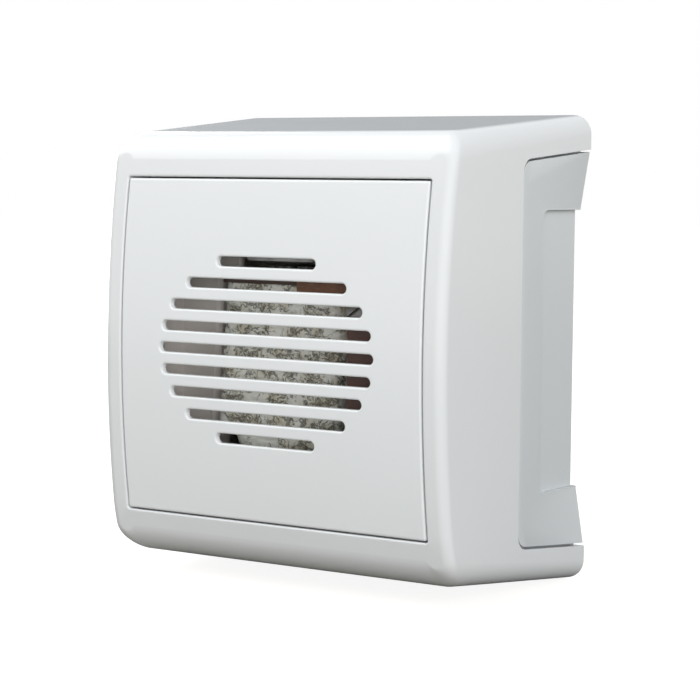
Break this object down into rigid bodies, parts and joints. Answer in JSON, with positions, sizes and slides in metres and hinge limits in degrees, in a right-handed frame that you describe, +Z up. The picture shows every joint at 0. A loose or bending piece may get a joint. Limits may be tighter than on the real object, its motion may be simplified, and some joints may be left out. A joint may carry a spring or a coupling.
{
  "type": "doorbell buzzer",
  "caption": "Flared wall-mounted doorbell buzzer with a bulged slotted front plate, pull-off cover frame and a coil with a sprung armature inside.",
  "frame": {"origin": "centre of the two wall-screw slots, in the wall's plane", "axes": "+Y into the wall, +Z up, +X along the wall to the right as seen from the room"},
  "size_m": [0.0834, 0.0492, 0.09],
  "materials": {
    "cover_white": "satin moulded",
    "plate_white": "satin moulded",
    "box_white": "satin moulded",
    "tray_grey": "fine matt moulded",
    "grommet_rubber": "matt",
    "zinc_steel": "bright zinc plated",
    "yoke_steel": "zinc plated strip",
    "core_steel": "stacked sheet edges",
    "copper_ring": "bare copper",
    "bobbin_brown": "dark moulded",
    "winding_copper": "enamelled wire",
    "tape_cream": "creased varnished tape",
    "sheet_card": "pressed board",
    "spring_steel": "drawn wire",
    "board_brown": "laminated board",
    "terminal_brass": "turned brass",
    "lead_insulation": "soft sleeve"
  },
  "bodies": {
    "housing": {"back_box": "box_white", "cable_grommet": "grommet_rubber", "chassis": "tray_grey", "module_screws": "zinc_steel", "yoke": "yoke_steel", "core_stack": "core_steel", "core_screw": "zinc_steel", "shading_ring": "copper_ring", "bobbin": "bobbin_brown", "winding": "winding_copper", "coil_tape": "tape_cream", "insulation_sheet": "sheet_card", "damping_washers": "grommet_rubber", "yoke_screws": "zinc_steel", "hinge_pin": "zinc_steel", "return_spring": "spring_steel", "stop_arm": "yoke_steel", "arm_screws": "zinc_steel", "terminal_board": "board_brown", "board_screws": "zinc_steel", "terminal_block_inner": "terminal_brass", "terminal_block_outer": "terminal_brass", "coil_lead_inner": "lead_insulation", "coil_lead_outer": "lead_insulation"},
    "cover": {"cover_frame": "cover_white"},
    "front": {"front_plate": "plate_white"},
    "armature": {"armature": "yoke_steel"},
    "adjuster": {"adjusting_screw": "terminal_brass"},
    "nut": {"lock_nut": "terminal_brass"},
    "clamp_inner": {"terminal_screw_inner": "zinc_steel"},
    "clamp_outer": {"terminal_screw_outer": "zinc_steel"}
  },
  "joints": [
    {"name": "cover_pull", "type": "slide", "parent": "housing", "child": "cover", "axis": [0, -1, 0], "range_m": [0, 0.06]},
    {"name": "front_pull", "type": "slide", "parent": "housing", "child": "front", "axis": [0, -1, 0], "range_m": [0, 0.04]},
    {"name": "armature_swing", "type": "hinge", "parent": "housing", "child": "armature", "pos_m": [-0.0012, -0.0205, 0.0196], "axis": [1, 0, 0], "range_deg": [-0.9, 3], "stiffness_Nm_per_rad": 0.3, "deforming": ["return_spring"]},
    {"name": "adjuster_turn", "type": "hinge", "parent": "housing", "child": "adjuster", "pos_m": [-0.0012, -0.0385, 0.0232], "axis": [0, 0, 1], "range_deg": [-180, 180]},
    {"name": "nut_turn", "type": "hinge", "parent": "housing", "child": "nut", "pos_m": [-0.0012, -0.0385, 0.0248], "axis": [0, 0, 1], "range_deg": [-180, 180]},
    {"name": "clamp_inner_turn", "type": "hinge", "parent": "housing", "child": "clamp_inner", "pos_m": [0.0181, -0.0443, 0.0084], "axis": [0, -1, 0], "range_deg": [0, 360]},
    {"name": "clamp_outer_turn", "type": "hinge", "parent": "housing", "child": "clamp_outer", "pos_m": [0.0242, -0.0443, 0.0084], "axis": [0, -1, 0], "range_deg": [0, 360]}
  ]
}
